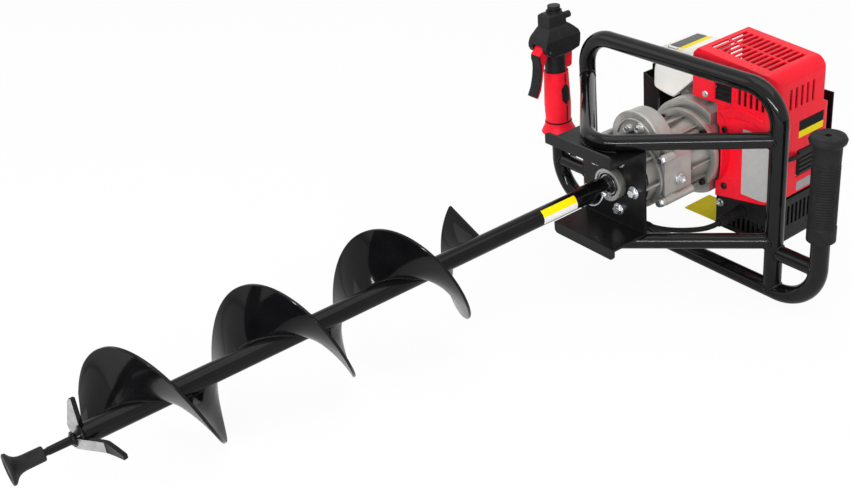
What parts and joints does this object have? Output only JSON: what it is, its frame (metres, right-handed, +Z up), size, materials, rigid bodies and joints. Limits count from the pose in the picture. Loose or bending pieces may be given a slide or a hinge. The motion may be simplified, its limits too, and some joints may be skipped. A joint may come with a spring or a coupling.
{
  "type": "earth auger",
  "caption": "Two-handed petrol earth auger: tube frame with throttle and plain grip, shrouded engine, gearbox and a steel drill with a helical flight, lying on the ground.",
  "frame": {"origin": "on the ground below the centre of the lying machine's bounding box", "axes": "+X to the plain grip's side, +Y from the drill's tip to the engine, +Z up; the drill axis tips up 6.7 degrees towards +Y"},
  "size_m": [0.557, 1.1888, 0.3368],
  "materials": {
    "frame_black": "gloss black paint",
    "drill_black": "gloss black paint",
    "zinc": "zinc plated",
    "cast_metal": "as cast",
    "steel": "machined",
    "black_screw": "blackened",
    "red_plastic": "gloss red",
    "black_plastic": "satin black",
    "black_rubber": "matt",
    "milky_plastic": "milky, slightly see-through"
  },
  "bodies": {
    "frame": {"main_hoop": "frame_black", "handlebar": "frame_black", "upper_brace": "frame_black", "lower_brace": "frame_black", "cross_tubes": "frame_black", "mounting_bracket": "frame_black", "bracket_bolts": "zinc", "output_bearing": "steel", "gearbox_front": "cast_metal", "gearbox_housing": "cast_metal", "gearbox_bolts": "zinc", "clutch_housing": "cast_metal", "clutch_screws": "black_screw", "crankcase": "cast_metal", "finned_cylinder": "cast_metal", "spark_plug": "steel", "plug_cap": "black_plastic", "muffler": "steel", "carburettor": "cast_metal", "lower_cover": "black_plastic", "engine_shroud": "red_plastic", "shroud_screws": "black_screw", "starter_housing": "black_plastic", "fuel_tank": "milky_plastic", "rear_guard": "frame_black", "right_grip": "black_rubber", "throttle_grip": "red_plastic", "throttle_head": "black_plastic", "grip_pad": "black_rubber", "trigger_pin": "zinc", "throttle_cable": "black_plastic", "cable_boot": "black_rubber"},
    "drill": {"drill_tube": "drill_black", "drill_flight": "drill_black", "drill_cutters": "drill_black", "pilot_point": "drill_black", "lock_pin": "zinc", "output_shaft": "steel", "output_gear": "steel"},
    "lock_bow": {"lock_bow": "zinc"},
    "tip_cap": {"tip_cap": "black_rubber"},
    "layshaft": {"layshaft": "steel"},
    "clutch_drum": {"clutch_drum": "steel"},
    "crank": {"crankshaft": "steel", "clutch_shoes": "steel", "flywheel": "cast_metal"},
    "trigger": {"throttle_trigger": "red_plastic"},
    "safety_lever": {"safety_lever": "red_plastic"},
    "stop_button": {"stop_button": "black_plastic"},
    "hold_button": {"hold_button": "black_plastic"},
    "fuel_cap": {"fuel_cap": "black_plastic"}
  },
  "joints": [
    {"name": "drill_spin", "type": "hinge", "parent": "frame", "child": "drill", "pos_m": [0.002, 0.23736, 0.14691], "axis": [0, 0.9932, 0.1166], "continuous": true},
    {"name": "layshaft_spin", "type": "hinge", "parent": "frame", "child": "layshaft", "pos_m": [0.002, 0.31872, 0.20177], "axis": [0, 0.9932, 0.1166], "continuous": true},
    {"name": "clutch_drum_spin", "type": "hinge", "parent": "frame", "child": "clutch_drum", "pos_m": [0.002, 0.32396, 0.15707], "axis": [0, 0.9932, 0.1166], "continuous": true},
    {"name": "crank_spin", "type": "hinge", "parent": "frame", "child": "crank", "pos_m": [0.002, 0.49459, 0.17711], "axis": [0, 0.9932, 0.1166], "continuous": true},
    {"name": "tip_cap_pull", "type": "slide", "parent": "drill", "child": "tip_cap", "axis": [0, -0.9932, -0.1166], "range_m": [0, 0.04]},
    {"name": "lock_bow_swing", "type": "hinge", "parent": "drill", "child": "lock_bow", "pos_m": [0.022, 0.23736, 0.14691], "axis": [0, -0.9895, 0.1444], "range_deg": [0, 100]},
    {"name": "trigger_squeeze", "type": "hinge", "parent": "frame", "child": "trigger", "pos_m": [-0.2505, 0.35609, 0.26758], "axis": [1, 0, 0], "range_deg": [0, 12], "stiffness_Nm_per_rad": 0.8, "springref_deg": -11.46},
    {"name": "safety_press", "type": "hinge", "parent": "frame", "child": "safety_lever", "pos_m": [-0.2505, 0.40698, 0.27154], "axis": [-1, 0, 0], "range_deg": [0, 7], "stiffness_Nm_per_rad": 0.5, "springref_deg": -11.46},
    {"name": "stop_press", "type": "slide", "parent": "frame", "child": "stop_button", "axis": [0, 0.1166, -0.9932], "range_m": [0, 0.004], "stiffness_N_per_m": 400, "springref_m": -0.003},
    {"name": "hold_press", "type": "slide", "parent": "frame", "child": "hold_button", "axis": [0, -0.9932, -0.1166], "range_m": [0, 0.003], "stiffness_N_per_m": 400, "springref_m": -0.003},
    {"name": "fuel_cap_turn", "type": "hinge", "parent": "frame", "child": "fuel_cap", "pos_m": [-0.053, 0.51886, 0.27058], "axis": [0, 0.9932, 0.1166], "range_deg": [-270, 0]}
  ],
  "couplings": [
    {"joint": "layshaft_spin", "follows": "drill_spin", "ratio": -5},
    {"joint": "clutch_drum_spin", "follows": "drill_spin", "ratio": 25}
  ]
}
